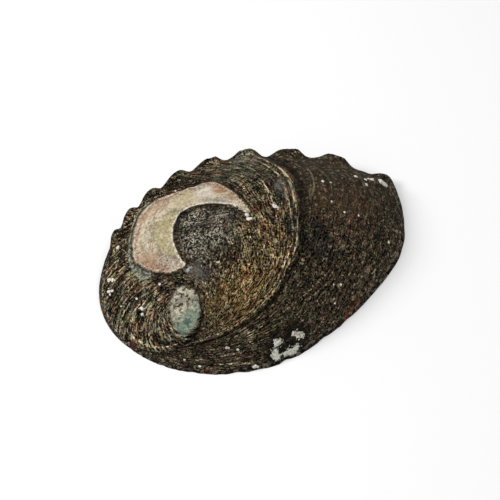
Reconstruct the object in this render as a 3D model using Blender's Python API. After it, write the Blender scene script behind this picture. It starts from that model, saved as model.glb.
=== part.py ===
"""Abalone shell: one grown piece, a low ear-shaped dome over an open bowl.

The shell lies mouth down on its rim. +X runs along its length to the end that grew last,
+Y to the side with the row of pores and +Z up. The origin is the middle of its footprint.

A shell keeps its shape while it grows: every older lip is the same curve, smaller by a fixed
factor for each turn and turned about the coil's centre. So the whole back of the shell is one
lip curve, copied inwards. `age` is how far back in growth a point is, as an angle in radians,
and `share` is how far along the lip it is, from 0 at the seam with the older whorl to 1 at
the shoulder, where the pores are.
"""

import math

import bmesh
import bpy
import numpy as np
from mathutils import Matrix, Vector
from mathutils.bvhtree import BVHTree

# Growth of the coil, seen from above
GROWTH = 0.486                        # a lip one radian older is e^-0.486 of the size
LIP_START = math.radians(177.0)       # direction in which the lip leaves the seam
LIP_SPAN = math.radians(196.0)        # turn of the lip, anticlockwise, from seam to shoulder
SHOULDER_RADIUS = 0.0880              # from the coil's centre to the far end of the lip
LIP_SHARES = (0.14, 0.30, 0.45, 0.60, 0.72, 0.82, 0.90, 0.955)
LIP_RADII = (0.0204, 0.0215, 0.0264, 0.0355, 0.0449, 0.0582, 0.0745, 0.0826)
COIL = (-0.0298, -0.0095)             # the coil's centre in the plan
FLATTEN = 0.814                       # the plan is narrowed by this factor ...
FLATTEN_TURN = math.radians(75.0)     # ... along this direction
DRIFT = (-0.0063, -0.0010)            # the oldest whorls lie this far aside
DRIFT_REACH = 0.015

# Heights
HEIGHT = 0.0280
CROWN = (0.0055, -0.0038)             # top of the dome in the plan
FULLNESS = 2.40                       # 1 is a cone, 2 a parabola, more is fuller at the rim
LIP_HEIGHT = 0.0012
SHOULDER_FRONT = 0.0039               # height of the shoulder where the lip meets it
SHOULDER_BACK = 0.0020                # and where it runs into the seam
SHOULDER_RISE = 0.0151                # height of its hump in between
RISE_START, RISE_END = 1.20, 2.90     # how fast the hump rises and dies away
FRONT_TURN = math.radians(9.0)        # the lip's edge comes up to the shoulder over this turn
BACK_TURN = math.radians(14.0)        # and up to the seam over this one

# Side wall outside the shoulder
WALL_SPREAD = 0.31                    # outward reach of the wall for its height
WALL_TOP = math.radians(25.0)         # its slope at the shoulder
WALL_RINGS = 4

# Relief
PITCH = math.radians(10.55)           # growth from one pore to the next
FIRST_PORE = math.radians(1.5)        # the newest one is only a notch in the lip
KNOB_COUNT = 9
KNOB_GROWTH = 0.75                    # the knobs grew a little slower than the lip
KNOB_DOWN = 0.25                      # the knobs stand just outside the shoulder, on the wall
KNOB_HEIGHT = 0.0033
KNOB_RADIUS = 0.0040
KNOB_EDGE = 2.8                       # 2 is a round hump, more is flatter with steeper sides
NEWEST_KNOB = 0.55                    # the newest knob isn't fully formed yet
KNOB_TAIL = 1.9                       # a knob's older side is this many times longer
RIM_CLEAR = 0.0005                    # the rim itself stays flat
OPEN_PORES = 4
PORE_RADIUS = 0.0016
PORE_STRETCH = 1.35                   # the pores are ovals, longer along the growth
PEG_LENGTH = 0.016
PEG_SIDES = 14
SEAM_DEPTH = 0.0009
SEAM_WIDTH = 0.06                     # as a share of the lip, on its younger side
SEAM_BANK = 0.03                      # and on the older whorl's side
SEAM_START = 0.5                      # age at which the seam groove has its full depth
RIDGE_AGE = 0.61                      # growth stopped once here and left a ridge
RIDGE_HEIGHT = 0.0004
REST_DEPTH = 0.0006                   # groove just outside that ridge
BAND_WIDTH = 0.035

# Underside
FOOT_WIDTH = 0.0022
LIP_THICKNESS = 0.0015
BODY_THICKNESS = 0.0024
BOWL_CENTRE = Vector((0.000, -0.003, 0.0))
SHELF_WIDTH = 0.0080                  # flat shelf inside the pore side
SHELF_HEIGHT = 0.0016
SHELF_END = 0.45                      # share of the bowl's rise over which the shelf runs out
SHELF_CURVE = 1.5
THICKENING = 0.5                      # how soon the wall gets its full thickness
RING_CROWDING = 1.15                  # above 1 the bowl's rings crowd towards the foot
STEEPEST = 0.5                        # limits the thickness where a ray grazes the skin
BOWL_RINGS = 10

# Grid
STEPS = 45                            # growth steps from the lip back to the seam's far side
LIP_POINTS = 26
SHARE_BEND = 1.35                     # lip points crowd towards the shoulder
OUTLINE_POINTS = 720
TANGENT_STEP = math.radians(2.0)
WELD = 1e-6

OLD_TURN = 2.0 * math.pi - LIP_SPAN   # growth after which the shoulder becomes the seam
SEAM_RADIUS = SHOULDER_RADIUS * math.exp(-GROWTH * OLD_TURN)


def smooth_curve(x, knots_x, knots_y):
    """Value at x of a smooth curve through the knots."""
    knots_x = np.asarray(knots_x)
    knots_y = np.asarray(knots_y)
    slopes = np.gradient(knots_y, knots_x)
    piece = np.clip(np.searchsorted(knots_x, x) - 1, 0, len(knots_x) - 2)
    width = knots_x[piece + 1] - knots_x[piece]
    t = (x - knots_x[piece]) / width
    start = knots_y[piece] * (1.0 + 2.0 * t) * (1.0 - t) ** 2
    start_slope = slopes[piece] * width * t * (1.0 - t) ** 2
    end = knots_y[piece + 1] * t * t * (3.0 - 2.0 * t)
    end_slope = slopes[piece + 1] * width * t * t * (t - 1.0)
    return start + start_slope + end + end_slope


def lip_radius(share):
    """Distance of the lip from the coil's centre, before the plan is narrowed."""
    shares = (0.0, *LIP_SHARES, 1.0)
    radii = np.log((SEAM_RADIUS, *LIP_RADII, SHOULDER_RADIUS))
    return np.exp(smooth_curve(share, shares, radii))


def plan_place(radius, turn):
    """Plan position of a point given by its distance and direction from the coil's centre."""
    along = radius * np.cos(turn - FLATTEN_TURN) * FLATTEN
    across = radius * np.sin(turn - FLATTEN_TURN)
    cosine, sine = math.cos(FLATTEN_TURN), math.sin(FLATTEN_TURN)
    drift = np.exp(-((radius / DRIFT_REACH) ** 2))
    x = COIL[0] + along * cosine - across * sine + DRIFT[0] * drift
    y = COIL[1] + along * sine + across * cosine + DRIFT[1] * drift
    return x, y


def outline_place(station):
    """Plan position on the outline. `station` is the turn from the seam: lip, then shoulder."""
    station = station % (2.0 * math.pi)
    on_lip = lip_radius(np.clip(station / LIP_SPAN, 0.0, 1.0))
    on_shoulder = SHOULDER_RADIUS * np.exp(-GROWTH * (station - LIP_SPAN))
    radius = np.where(station < LIP_SPAN, on_lip, on_shoulder)
    return plan_place(radius, LIP_START + station)


def shoulder_height(station):
    """Height of the shell's upper edge along its outline."""
    t = np.clip((station - LIP_SPAN) / OLD_TURN, 0.0, 1.0)
    peak = RISE_START / (RISE_START + RISE_END)
    hump = (t / peak) ** RISE_START * ((1.0 - t) / (1.0 - peak)) ** RISE_END
    shoulder = SHOULDER_FRONT + (SHOULDER_BACK - SHOULDER_FRONT) * t + SHOULDER_RISE * hump
    front = np.exp(-(((station - LIP_SPAN) / FRONT_TURN) ** 2))
    back = np.exp(-((station / BACK_TURN) ** 2))
    lip = LIP_HEIGHT + (SHOULDER_FRONT - LIP_HEIGHT) * front + (SHOULDER_BACK - LIP_HEIGHT) * back
    return np.where(station < LIP_SPAN, lip, shoulder)


def outline_table():
    """Outline about the crown: direction, distance and edge height, in order of direction."""
    stations = np.linspace(0.0, 2.0 * math.pi, OUTLINE_POINTS, endpoint=False)
    x, y = outline_place(stations)
    direction = np.arctan2(y - CROWN[1], x - CROWN[0])
    distance = np.hypot(x - CROWN[0], y - CROWN[1])
    order = np.argsort(direction)
    return direction[order], distance[order], shoulder_height(stations)[order]


OUTLINE = outline_table()


def dome_height(x, y):
    """Height of the smooth back: the outline's own height at the edge, HEIGHT at the crown."""
    directions, distances, edges = OUTLINE
    direction = math.atan2(y - CROWN[1], x - CROWN[0])
    reach = np.interp(direction, directions, distances, period=2.0 * math.pi)
    edge = np.interp(direction, directions, edges, period=2.0 * math.pi)
    out = min(math.hypot(x - CROWN[0], y - CROWN[1]) / reach, 1.0)
    return edge + (HEIGHT - edge) * (1.0 - out ** FULLNESS)


def outward(station):
    """Unit plan direction that points straight out of the outline."""
    ahead = np.array(outline_place(station + TANGENT_STEP))
    behind = np.array(outline_place(station - TANGENT_STEP))
    along = ahead - behind
    along /= np.hypot(*along)
    return along[1], -along[0]


def wall_place(station, down):
    """Point of the side wall, from down = 0 at the shoulder to 1 at the rim, and its normal."""
    x, y = outline_place(station)
    height = float(shoulder_height(station))
    slope = WALL_TOP + (math.pi / 2.0 - WALL_TOP) * down
    reach = (math.sin(slope) - math.sin(WALL_TOP)) / (1.0 - math.sin(WALL_TOP))
    out = WALL_SPREAD * height * reach
    out_x, out_y = outward(station)
    z = height * math.cos(slope) / math.cos(WALL_TOP)
    normal = Vector((out_x * math.sin(slope), out_y * math.sin(slope), math.cos(slope)))
    return Vector((x + out_x * out, y + out_y * out, z)), normal


def knobs():
    """The pore knobs, youngest first: place, growth direction, normal and size of each."""
    result = []
    for number in range(KNOB_COUNT):
        age = FIRST_PORE + number * PITCH
        place, normal = wall_place(LIP_SPAN + age, KNOB_DOWN)
        out_x, out_y = outward(LIP_SPAN + age)
        backward = Vector((-out_y, out_x, 0.0))
        formed = NEWEST_KNOB if number == 0 else 1.0
        result.append((place, backward, normal, formed * math.exp(-GROWTH * KNOB_GROWTH * age)))
    return result


KNOBS = knobs()


def knob_push(place):
    """How the knobs push the surface out: steeply on their young side, with a tail behind."""
    push = Vector((0.0, 0.0, 0.0))
    for centre, backward, normal, size in KNOBS:
        offset = place - centre
        along = offset.dot(backward)
        across = math.sqrt(max(offset.length_squared - along * along, 0.0))
        length = KNOB_TAIL if along > 0.0 else 1.0
        scaled = math.hypot(along / length, across) / (KNOB_RADIUS * size)
        lift = KNOB_HEIGHT * size * math.exp(-scaled ** KNOB_EDGE)
        if lift > push.length:
            push = normal * lift
    return push


def growth_relief(age, share, radius):
    """Seam groove and the ridge where growth once stopped, as a change of height."""
    depth = SEAM_DEPTH * min(1.0, radius / SEAM_RADIUS) * min(1.0, age / SEAM_START)
    seam = math.exp(-((share / SEAM_WIDTH) ** 2))
    if age > OLD_TURN:
        seam += math.exp(-(((1.0 - share) / SEAM_BANK) ** 2))
    ridge = math.exp(-(((age - RIDGE_AGE) / BAND_WIDTH) ** 2))
    rest = math.exp(-(((age - RIDGE_AGE + 2.0 * BAND_WIDTH) / BAND_WIDTH) ** 2))
    return RIDGE_HEIGHT * ridge - REST_DEPTH * rest - depth * min(seam, 1.0)


def grow_back(bm, age, share, station):
    """The back of the shell in its flat coil: one lip, extruded into all its older sizes."""
    step = OLD_TURN / STEPS
    shrink = math.exp(-GROWTH * step)
    row = []
    for i in range(LIP_POINTS + 1):
        at = 1.0 - (1.0 - i / LIP_POINTS) ** SHARE_BEND
        turn = LIP_START + at * LIP_SPAN
        radius = float(lip_radius(at))
        vert = bm.verts.new((radius * math.cos(turn), radius * math.sin(turn), 0.0))
        vert[share] = at
        vert[station] = at * LIP_SPAN
        row.append(vert)
    edges = [bm.edges.new(pair) for pair in zip(row, row[1:])]
    for number in range(1, 2 * STEPS + 1):
        made = bmesh.ops.extrude_edge_only(bm, edges=edges)["geom"]
        new = [item for item in made if isinstance(item, bmesh.types.BMVert)]
        fresh = set(new)
        edges = [item for item in made if isinstance(item, bmesh.types.BMEdge)
                 and fresh.issuperset(item.verts)]
        bmesh.ops.rotate(bm, verts=new, cent=(0, 0, 0), matrix=Matrix.Rotation(step, 3, "Z"))
        bmesh.ops.scale(bm, verts=new, vec=(shrink, shrink, 1.0))
        for vert in new:
            vert[age] = number * step
            vert[station] = LIP_SPAN + number * step
    bmesh.ops.remove_doubles(bm, verts=bm.verts, dist=WELD)
    hole = [edge for edge in bm.edges if edge.is_boundary
            and max(vert.co.length for vert in edge.verts) < SEAM_RADIUS / 2.0]
    cap = bmesh.ops.contextual_create(bm, geom=hole)["faces"]
    middle = bmesh.ops.poke(bm, faces=cap)["verts"][0]
    middle[age] = 2.0 * OLD_TURN
    middle[share] = 0.5


def extrude_rim(bm, edges):
    """Extrude the open rim once and return the new rim's edges and vertices."""
    made = bmesh.ops.extrude_edge_only(bm, edges=edges)["geom"]
    verts = [item for item in made if isinstance(item, bmesh.types.BMVert)]
    fresh = set(verts)
    new_edges = [item for item in made if isinstance(item, bmesh.types.BMEdge)
                 and fresh.issuperset(item.verts)]
    return new_edges, verts


def shelf_weight(station):
    """1 along the middle of the pore side, where the inner shelf is widest, and 0 on the lip."""
    t = min(max((station - LIP_SPAN) / OLD_TURN, 0.0), 1.0)
    return math.sin(math.pi * t) ** SHELF_CURVE


def bowl_place(skin, station, ring):
    """Point of the inner surface: straight out from the bowl's centre to just under the skin."""
    rim = wall_place(station, 1.0)[0] - BOWL_CENTRE
    flat = Vector((rim.x, rim.y, 0.0))
    lowest = math.atan2(SHELF_HEIGHT, flat.length - SHELF_WIDTH * shelf_weight(station))
    rise = (ring / BOWL_RINGS) ** RING_CROWDING
    elevation = lowest + (math.pi / 2.0 - lowest) * rise
    direction = flat.normalized() * math.cos(elevation) + Vector((0, 0, math.sin(elevation)))
    _, normal, _, distance = skin.ray_cast(BOWL_CENTRE, direction)
    filled = math.sin(elevation) ** THICKENING
    thickness = LIP_THICKNESS + (BODY_THICKNESS - LIP_THICKNESS) * filled
    distance -= thickness / max(abs(direction.dot(normal)), STEEPEST)
    shelf = SHELF_WIDTH * shelf_weight(station) / flat.length
    distance *= 1.0 - shelf * max(0.0, 1.0 - rise / SHELF_END) ** SHELF_CURVE
    return BOWL_CENTRE + direction * distance


def build_shell():
    """The whole shell: back, side wall, flat rim and bowl, as one closed mesh."""
    bm = bmesh.new()
    age = bm.verts.layers.float.new("age")
    share = bm.verts.layers.float.new("share")
    station = bm.verts.layers.float.new("station")
    grow_back(bm, age, share, station)
    back = {}
    for vert in bm.verts:
        radius = vert.co.length
        x, y = plan_place(radius, math.atan2(vert.co.y, vert.co.x))
        back[vert] = radius
        vert.co = (x, y, dome_height(x, y))

    rim = [edge for edge in bm.edges if edge.is_boundary]
    wall = []
    for ring in range(1, WALL_RINGS + 1):
        rim, verts = extrude_rim(bm, rim)
        wall += verts
        for vert in verts:
            vert.co = wall_place(vert[station], ring / WALL_RINGS)[0]
    skin = BVHTree.FromBMesh(bm)

    for vert, radius in back.items():
        vert.co += knob_push(vert.co)
        vert.co.z += growth_relief(vert[age], vert[share], radius)
    for vert in wall:
        if vert.co.z > RIM_CLEAR:
            vert.co += knob_push(vert.co)

    rim, verts = extrude_rim(bm, rim)
    for vert in verts:
        out_x, out_y = outward(vert[station])
        vert.co -= Vector((out_x, out_y, 0.0)) * FOOT_WIDTH
    for ring in range(BOWL_RINGS):
        rim, verts = extrude_rim(bm, rim)
        for vert in verts:
            vert.co = bowl_place(skin, vert[station], ring)
    top = bmesh.ops.contextual_create(bm, geom=rim)["faces"]
    bmesh.ops.poke(bm, faces=top)
    bmesh.ops.recalc_face_normals(bm, faces=bm.faces)
    mesh = bpy.data.meshes.new("shell")
    bm.to_mesh(mesh)
    bm.free()
    mesh.shade_smooth()
    shell = bpy.data.objects.new("shell", mesh)
    bpy.context.scene.collection.objects.link(shell)
    return shell


def pore_cutter():
    """Oval pegs that pierce the youngest knobs, leaning outwards."""
    bm = bmesh.new()
    for centre, backward, normal, size in KNOBS[1:OPEN_PORES + 1]:
        side = normal.cross(backward)
        frame = Matrix((backward, side, normal)).transposed().to_4x4()
        frame.translation = centre
        radius = PORE_RADIUS * size
        stretch = Matrix.Diagonal((PORE_STRETCH, 1.0, 1.0, 1.0))
        bmesh.ops.create_cone(bm, cap_ends=True, segments=PEG_SIDES, radius1=radius,
                              radius2=radius, depth=PEG_LENGTH, matrix=frame @ stretch)
    mesh = bpy.data.meshes.new("pore_cutter")
    bm.to_mesh(mesh)
    bm.free()
    cutter = bpy.data.objects.new("pore_cutter", mesh)
    bpy.context.scene.collection.objects.link(cutter)
    cutter.hide_render = True
    cutter.display_type = "WIRE"
    return cutter


def shell_material():
    """Weathered brown-grey shell."""
    material = bpy.data.materials.new("shell")
    material.use_nodes = True
    surface = material.node_tree.nodes["Principled BSDF"]
    surface.inputs["Base Color"].default_value = (0.085, 0.067, 0.048, 1.0)
    surface.inputs["Roughness"].default_value = 0.6
    surface.inputs["Metallic"].default_value = 0.0
    return material


for old in list(bpy.data.objects):
    bpy.data.objects.remove(old)

shell = build_shell()
shell.data.materials.append(shell_material())
holes = shell.modifiers.new("pores", "BOOLEAN")
holes.operation = "DIFFERENCE"
holes.solver = "EXACT"
holes.object = pore_cutter()
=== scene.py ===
# %% [markdown]
# # An abalone shell
#
# This lesson dresses one abalone shell that lies mouth down on a white table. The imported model
# holds it as one solid, and here that solid is replaced by a finer mesh of the same shape, with
# its growth ridges, its worn nacre, its crusts and its pearly inside.
#
# The frame comes first. Everything below is in metres, in the frame's own coordinates: +X runs
# along the shell, +Y to the side with the pores and +Z up.

import math

import bmesh
import bpy
import numpy as np
from mathutils import Matrix, Vector, noise
from mathutils.bvhtree import BVHTree


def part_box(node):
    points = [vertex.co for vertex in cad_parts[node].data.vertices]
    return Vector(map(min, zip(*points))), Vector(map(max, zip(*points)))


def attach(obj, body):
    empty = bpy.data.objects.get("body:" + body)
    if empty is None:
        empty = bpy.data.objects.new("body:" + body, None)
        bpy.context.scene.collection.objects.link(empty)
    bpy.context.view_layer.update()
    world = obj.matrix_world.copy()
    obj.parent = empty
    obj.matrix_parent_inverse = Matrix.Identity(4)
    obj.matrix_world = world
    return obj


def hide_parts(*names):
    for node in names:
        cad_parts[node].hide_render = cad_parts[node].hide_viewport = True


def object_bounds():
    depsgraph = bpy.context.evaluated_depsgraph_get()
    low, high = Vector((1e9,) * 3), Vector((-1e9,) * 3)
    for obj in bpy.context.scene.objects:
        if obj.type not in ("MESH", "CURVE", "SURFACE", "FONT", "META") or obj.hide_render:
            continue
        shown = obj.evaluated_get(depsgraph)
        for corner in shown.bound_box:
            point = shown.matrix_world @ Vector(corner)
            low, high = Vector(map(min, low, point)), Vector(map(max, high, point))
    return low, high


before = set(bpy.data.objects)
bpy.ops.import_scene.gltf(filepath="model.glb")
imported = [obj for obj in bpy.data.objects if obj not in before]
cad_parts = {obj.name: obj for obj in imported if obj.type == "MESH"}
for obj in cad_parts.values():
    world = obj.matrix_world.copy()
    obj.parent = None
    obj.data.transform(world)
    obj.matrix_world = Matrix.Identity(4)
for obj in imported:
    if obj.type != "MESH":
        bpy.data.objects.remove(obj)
cad_box = [list(corner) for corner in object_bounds()]
MM = 0.001
print("CAD box in mm:", [[round(value / MM, 1) for value in corner] for corner in cad_box])

# %% [markdown]
# ## The camera
#
# The photograph looks down at the shell from the side of its lip. A long lens keeps the outline
# as flat as it is there. The lens follows from what the picture takes in: a width of 164 mm at
# the shell, seen from 62 cm away.

# %% Camera
VIEW_TURN = math.radians(-30.0)
VIEW_RISE = math.radians(58.0)
VIEW_DISTANCE = 620 * MM
VIEW_WIDTH = 164 * MM
VIEW_AIM = Vector((-4.07, -1.0, 12.0)) * MM


def direction(turn, rise):
    """Unit vector that points from the shell to something at this turn and height angle."""
    flat = math.cos(rise)
    return Vector((math.sin(turn) * flat, -math.cos(turn) * flat, math.sin(rise)))


def aim(thing, place, target):
    """Put a camera or a lamp at a place and turn it to look at the target."""
    thing.location = place
    thing.rotation_euler = (place - target).to_track_quat("Z", "Y").to_euler()


camera = bpy.data.objects.new("camera", bpy.data.cameras.new("camera"))
bpy.context.scene.collection.objects.link(camera)
bpy.context.scene.camera = camera
camera.data.lens = camera.data.sensor_width * VIEW_DISTANCE / VIEW_WIDTH
aim(camera, VIEW_AIM + direction(VIEW_TURN, VIEW_RISE) * VIEW_DISTANCE, VIEW_AIM)
print("lens", round(camera.data.lens, 1), "mm")

# %% [markdown]
# ## How the shell grows
#
# A snail adds new shell only at its lip, and it keeps its shape while it grows. Every older lip
# is the same curve, smaller by a fixed factor for each turn, and turned about the centre of the
# coil. Two numbers name a place on the back: `age`, how far back in growth it is, as an angle,
# and `share`, how far along the lip it is, from the seam with the older whorl at 0 to the
# shoulder with the pores at 1.
#
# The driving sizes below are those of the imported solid, so that the fine mesh lies in its place.

# %% The growth rule
GROWTH = 0.486
LIP_START = math.radians(177.0)
LIP_SPAN = math.radians(196.0)
OLD_TURN = 2.0 * math.pi - LIP_SPAN
SHOULDER_RADIUS = 88.0 * MM
SEAM_RADIUS = SHOULDER_RADIUS * math.exp(-GROWTH * OLD_TURN)
LIP_SHARES = np.array((0.0, 0.14, 0.30, 0.45, 0.60, 0.72, 0.82, 0.90, 0.955, 1.0))
LIP_RADII = np.array((20.4, 21.5, 26.4, 35.5, 44.9, 58.2, 74.5, 82.6)) * MM
LIP_RADII = np.concatenate(([SEAM_RADIUS], LIP_RADII, [SHOULDER_RADIUS]))
COIL = np.array((-29.8, -9.5)) * MM
FLATTEN = 0.814
FLATTEN_TURN = math.radians(75.0)
DRIFT = np.array((-6.3, -1.0)) * MM
DRIFT_REACH = 15.0 * MM


def smooth_curve(x, knots_x, knots_y):
    """Values at x of a smooth curve through the knots."""
    slopes = np.gradient(knots_y, knots_x)
    piece = np.clip(np.searchsorted(knots_x, x) - 1, 0, len(knots_x) - 2)
    width = knots_x[piece + 1] - knots_x[piece]
    t = (x - knots_x[piece]) / width
    start = knots_y[piece] * (1.0 + 2.0 * t) + slopes[piece] * width * t
    end = knots_y[piece + 1] * (3.0 - 2.0 * t) + slopes[piece + 1] * width * (t - 1.0)
    return start * (1.0 - t) ** 2 + end * t * t


def lip_radius(share):
    """Distance of the lip from the coil's centre."""
    return np.exp(smooth_curve(share, LIP_SHARES, np.log(LIP_RADII)))


def plan_place(radius, turn):
    """Plan position of a point of the coil: narrowed, and with its oldest whorls aside."""
    along = radius * np.cos(turn - FLATTEN_TURN) * FLATTEN
    across = radius * np.sin(turn - FLATTEN_TURN)
    cosine, sine = math.cos(FLATTEN_TURN), math.sin(FLATTEN_TURN)
    drift = np.exp(-((radius / DRIFT_REACH) ** 2))
    x = COIL[0] + along * cosine - across * sine + DRIFT[0] * drift
    y = COIL[1] + along * sine + across * cosine + DRIFT[1] * drift
    return x, y


def outline_place(station):
    """Plan position on the outline, by the turn from the seam: first the lip, then the shoulder."""
    station = station % (2.0 * math.pi)
    on_lip = lip_radius(np.clip(station / LIP_SPAN, 0.0, 1.0))
    on_shoulder = SHOULDER_RADIUS * np.exp(-GROWTH * (station - LIP_SPAN))
    return plan_place(np.where(station < LIP_SPAN, on_lip, on_shoulder), LIP_START + station)


def outward(station):
    """Unit plan direction that points straight out of the outline."""
    step = math.radians(2.0)
    ahead_x, ahead_y = outline_place(station + step)
    behind_x, behind_y = outline_place(station - step)
    length = np.hypot(ahead_x - behind_x, ahead_y - behind_y)
    return (ahead_y - behind_y) / length, (behind_x - ahead_x) / length


lip_x, lip_y = outline_place(np.linspace(0.0, LIP_SPAN, 200))
print("lip length", round(float(np.hypot(np.diff(lip_x), np.diff(lip_y)).sum()) / MM, 1), "mm")

# %% [markdown]
# ## The dome
#
# Seen from the side the back is a low dome. Its height is the outline's own height at the edge
# and 28 mm at the crown, with a curve in between that is a little fuller than a parabola. The
# edge is thin and low at the lip, and rises in a long hump at the shoulder.

# %% Heights
HEIGHT = 28.0 * MM
CROWN = np.array((5.5, -3.8)) * MM
FULLNESS = 2.40
LIP_HEIGHT = 1.2 * MM
SHOULDER_FRONT = 3.9 * MM
SHOULDER_BACK = 2.0 * MM
SHOULDER_RISE = 15.1 * MM
RISE_START, RISE_END = 1.20, 2.90
WALL_SPREAD = 0.31
WALL_TOP = math.radians(25.0)


def shoulder_height(station):
    """Height of the shell's upper edge along its outline."""
    t = np.clip((station - LIP_SPAN) / OLD_TURN, 0.0, 1.0)
    peak = RISE_START / (RISE_START + RISE_END)
    hump = (t / peak) ** RISE_START * ((1.0 - t) / (1.0 - peak)) ** RISE_END
    shoulder = SHOULDER_FRONT + (SHOULDER_BACK - SHOULDER_FRONT) * t + SHOULDER_RISE * hump
    front = np.exp(-(((station - LIP_SPAN) / math.radians(9.0)) ** 2))
    back = np.exp(-((station / math.radians(14.0)) ** 2))
    lip = LIP_HEIGHT + (SHOULDER_FRONT - LIP_HEIGHT) * front + (SHOULDER_BACK - LIP_HEIGHT) * back
    return np.where(station < LIP_SPAN, lip, shoulder)


def wall_place(station, down):
    """Points of the side wall, from down = 0 at the shoulder to 1 at the rim, and normals."""
    x, y = outline_place(station)
    height = shoulder_height(station)
    slope = WALL_TOP + (math.pi / 2.0 - WALL_TOP) * down * np.ones_like(station)
    reach = (np.sin(slope) - math.sin(WALL_TOP)) / (1.0 - math.sin(WALL_TOP))
    out_x, out_y = outward(station)
    out = WALL_SPREAD * height * reach
    z = height * np.cos(slope) / math.cos(WALL_TOP)
    places = np.stack((x + out_x * out, y + out_y * out, z), axis=-1)
    normals = np.stack((out_x * np.sin(slope), out_y * np.sin(slope), np.cos(slope)), axis=-1)
    return places, normals


stations = np.linspace(0.0, 2.0 * math.pi, 720, endpoint=False)
edge_x, edge_y = outline_place(stations)
edge_direction = np.arctan2(edge_y - CROWN[1], edge_x - CROWN[0])
edge_distance = np.hypot(edge_x - CROWN[0], edge_y - CROWN[1])
edge_height = shoulder_height(stations)


def dome_height(x, y):
    """Height of the smooth back above a plan position."""
    toward = np.arctan2(y - CROWN[1], x - CROWN[0])
    reach = np.interp(toward, edge_direction, edge_distance, period=2.0 * math.pi)
    edge = np.interp(toward, edge_direction, edge_height, period=2.0 * math.pi)
    out = np.minimum(np.hypot(x - CROWN[0], y - CROWN[1]) / reach, 1.0)
    return edge + (HEIGHT - edge) * (1.0 - out ** FULLNESS)


print("shoulder is", round(float(edge_height.max()) / MM, 1), "mm high at most")

# %% [markdown]
# ## Growing the back
#
# The mesh grows the way the animal built it. One lip is laid down as a chain of edges. It is
# extruded, and the new copy is turned and shrunk, more than four hundred times. The seam closes
# by itself: the inner end of each lip lands exactly on the shoulder of the whorl before it, so
# merging doubles welds the coil.
#
# Each face keeps its `age` and `share` in a UV map. The two sides of the seam have different
# ages, and a UV map can hold both, which a value on the vertices can't.

# %% Grow the back
STEPS = 216
LIP_POINTS = 104
SHARE_BEND = 1.25

bm = bmesh.new()
age_layer = bm.verts.layers.float.new("age")
share_layer = bm.verts.layers.float.new("share")
station_layer = bm.verts.layers.float.new("station")
zone_layer = bm.verts.layers.int.new("zone")
growth_map = bm.loops.layers.uv.new("growth")


def new_parts(made):
    """The fresh vertices, the edges between them and the faces of an extrusion."""
    verts = [part for part in made if isinstance(part, bmesh.types.BMVert)]
    fresh = set(verts)
    edges = [part for part in made if isinstance(part, bmesh.types.BMEdge)
             and fresh.issuperset(part.verts)]
    faces = [part for part in made if isinstance(part, bmesh.types.BMFace)]
    return verts, edges, faces


def write_growth_map(faces):
    """Copy age and share from the vertices to the corners of the faces."""
    for face in faces:
        for corner in face.loops:
            corner[growth_map].uv = (corner.vert[age_layer], corner.vert[share_layer])


step = OLD_TURN / STEPS
shrink = math.exp(-GROWTH * step)
row = []
for i in range(LIP_POINTS + 1):
    share = 1.0 - (1.0 - i / LIP_POINTS) ** SHARE_BEND
    turn = LIP_START + share * LIP_SPAN
    radius = float(lip_radius(share))
    vert = bm.verts.new((radius * math.cos(turn), radius * math.sin(turn), 0.0))
    vert[share_layer] = share
    vert[station_layer] = share * LIP_SPAN
    row.append(vert)
row_edges = [bm.edges.new(pair) for pair in zip(row, row[1:])]
for number in range(1, 2 * STEPS + 1):
    made = bmesh.ops.extrude_edge_only(bm, edges=row_edges)["geom"]
    verts, row_edges, faces = new_parts(made)
    bmesh.ops.rotate(bm, verts=verts, cent=(0, 0, 0), matrix=Matrix.Rotation(step, 3, "Z"))
    bmesh.ops.scale(bm, verts=verts, vec=(shrink, shrink, 1.0))
    for vert in verts:
        vert[age_layer] = number * step
        vert[station_layer] = LIP_SPAN + number * step
    write_growth_map(faces)
bmesh.ops.remove_doubles(bm, verts=bm.verts, dist=1e-6)
inner_hole = [edge for edge in bm.edges if edge.is_boundary
              and max(vert.co.length for vert in edge.verts) < 0.5 * SEAM_RADIUS]
cap = bmesh.ops.contextual_create(bm, geom=inner_hole)["faces"]
poked = bmesh.ops.poke(bm, faces=cap)
poked["verts"][0][age_layer] = 2.2 * OLD_TURN
poked["verts"][0][share_layer] = 0.5
write_growth_map(poked["faces"])
print("back:", len(bm.verts), "vertices", len(bm.faces), "faces")

# %% [markdown]
# ## Wall, foot and bowl
#
# The flat coil is now lifted onto the dome. Its open rim is then extruded again and again: down
# the side wall, inwards for the flat foot that the shell stands on, and up into the bowl. Each
# ring of the bowl lies where a ray from the middle of the bowl meets the skin, less the shell's
# thickness. On the pore side the first rings stay back and leave the flat shelf that every
# abalone has there.

# %% Lift the coil onto the dome
flat = np.array([vert.co[:2] for vert in bm.verts])
coil_radius = np.hypot(flat[:, 0], flat[:, 1])
back_x, back_y = plan_place(coil_radius, np.arctan2(flat[:, 1], flat[:, 0]))
back_z = dome_height(back_x, back_y)
for vert, place in zip(bm.verts, np.stack((back_x, back_y, back_z), axis=-1)):
    vert.co = place
BACK_COUNT = len(bm.verts)

# %% Side wall
WALL_RINGS = 14
ZONE_BACK, ZONE_WALL, ZONE_UNDER = 0, 1, 2
RIM_AGE = 0.03
WALL_SHARE = 0.25

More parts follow.
